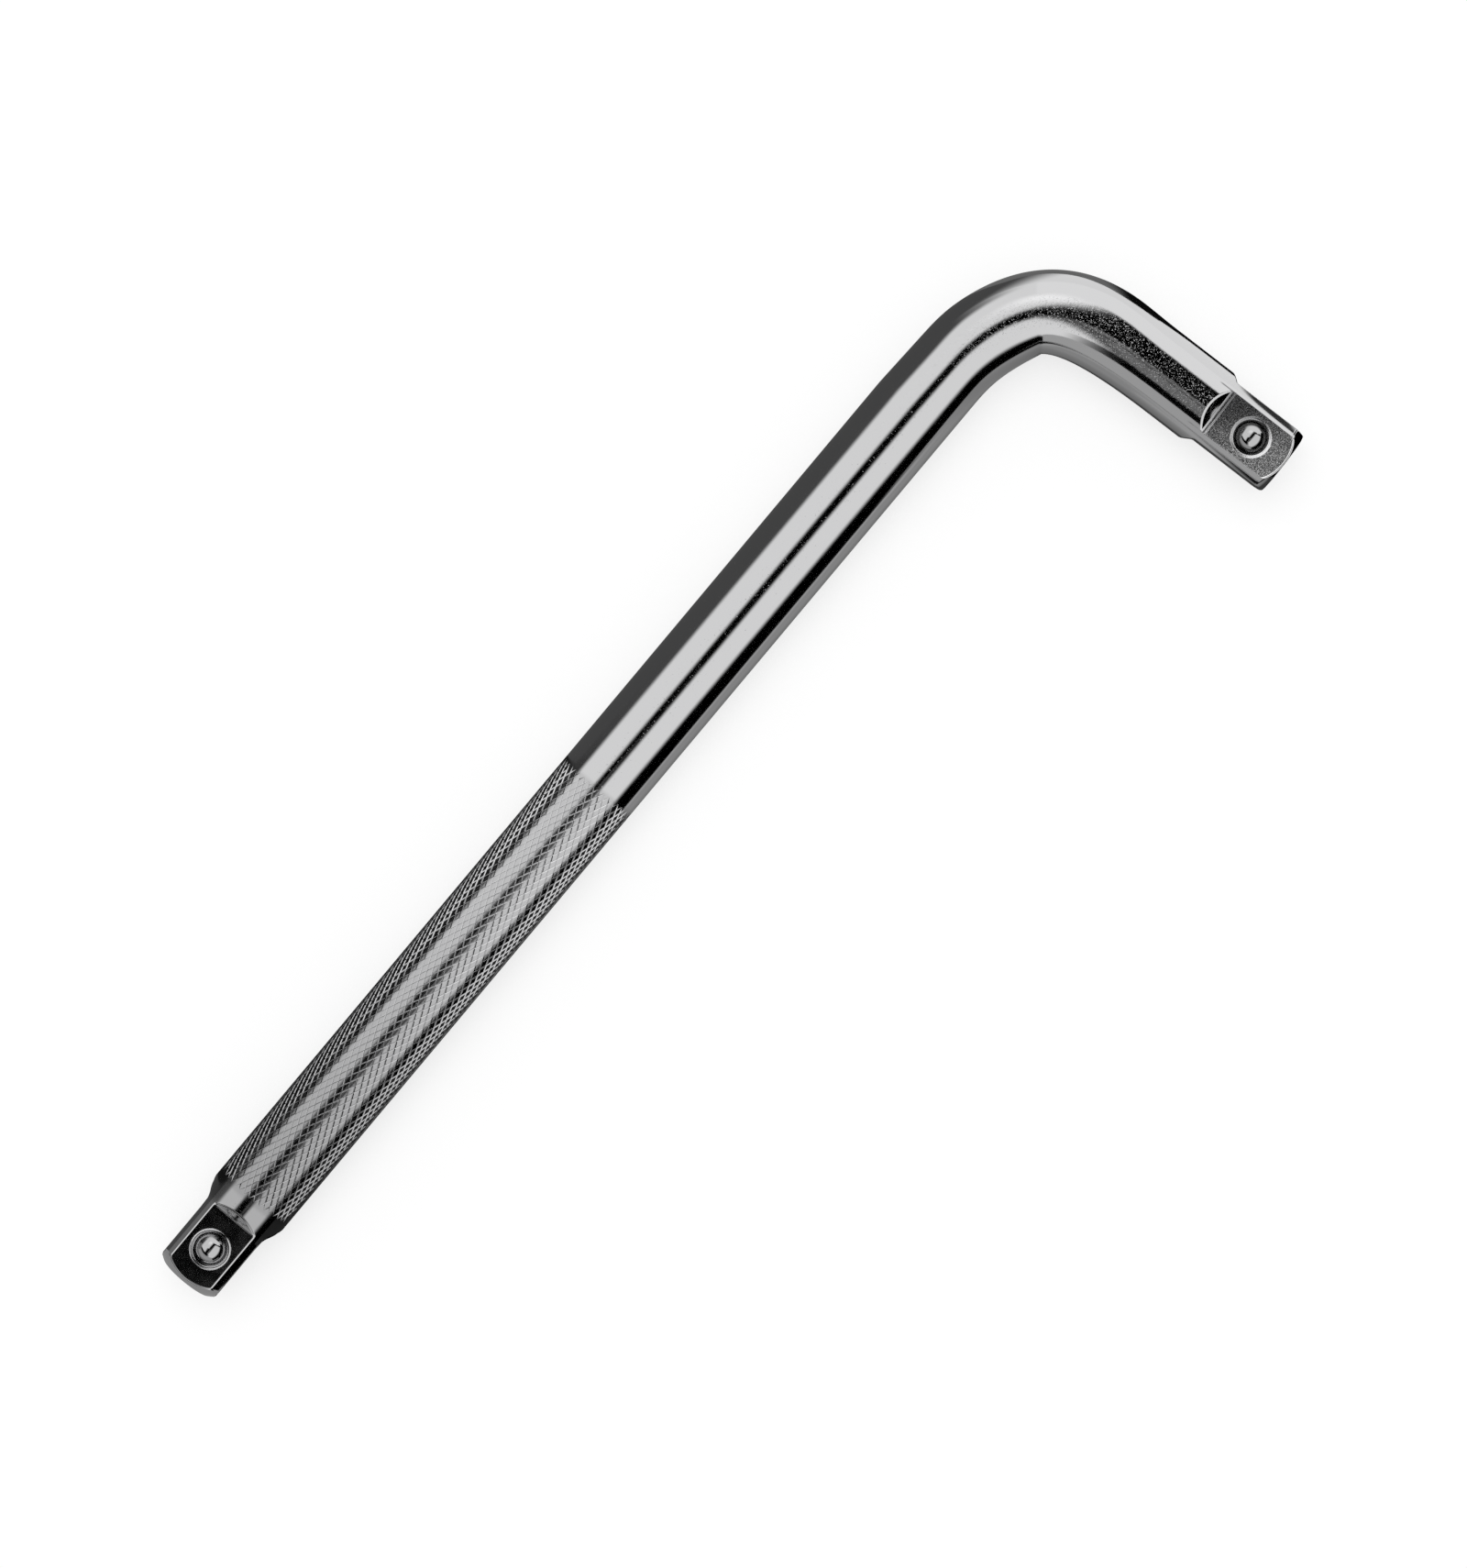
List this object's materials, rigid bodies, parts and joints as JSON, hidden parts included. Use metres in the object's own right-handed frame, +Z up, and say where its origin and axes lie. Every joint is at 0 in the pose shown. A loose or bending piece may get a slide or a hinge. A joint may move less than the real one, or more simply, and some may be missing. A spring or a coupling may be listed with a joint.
{
  "type": "l-handle socket wrench",
  "caption": "Bent round steel handle with a knurled grip and a square socket drive with a sprung ball on each end.",
  "frame": {"origin": "middle of the underside of the whole tool's box, on the surface that it lies on", "axes": "+Y along the long arm from its drive to the bend, +X along the short arm to its drive, +Z up, the way the balls face"},
  "size_m": [0.0662, 0.2506, 0.0159],
  "materials": {
    "bar_chrome": "bright chrome plate over forged steel, with fine pits near the bend",
    "ball_steel": "polished hard steel",
    "spring_steel": "drawn spring wire"
  },
  "bodies": {
    "handle": {"l_handle_bar": "bar_chrome", "long_drive_spring": "spring_steel", "short_drive_spring": "spring_steel"},
    "long_ball": {"long_drive_ball": "ball_steel"},
    "short_ball": {"short_drive_ball": "ball_steel"}
  },
  "joints": [
    {"name": "long_ball_press", "type": "slide", "parent": "handle", "child": "long_ball", "axis": [0, 0, -1], "range_m": [0, 0.0014], "stiffness_N_per_m": 6000, "deforming": ["long_drive_spring"]},
    {"name": "short_ball_press", "type": "slide", "parent": "handle", "child": "short_ball", "axis": [0, 0, -1], "range_m": [0, 0.0014], "stiffness_N_per_m": 6000, "deforming": ["short_drive_spring"]}
  ]
}
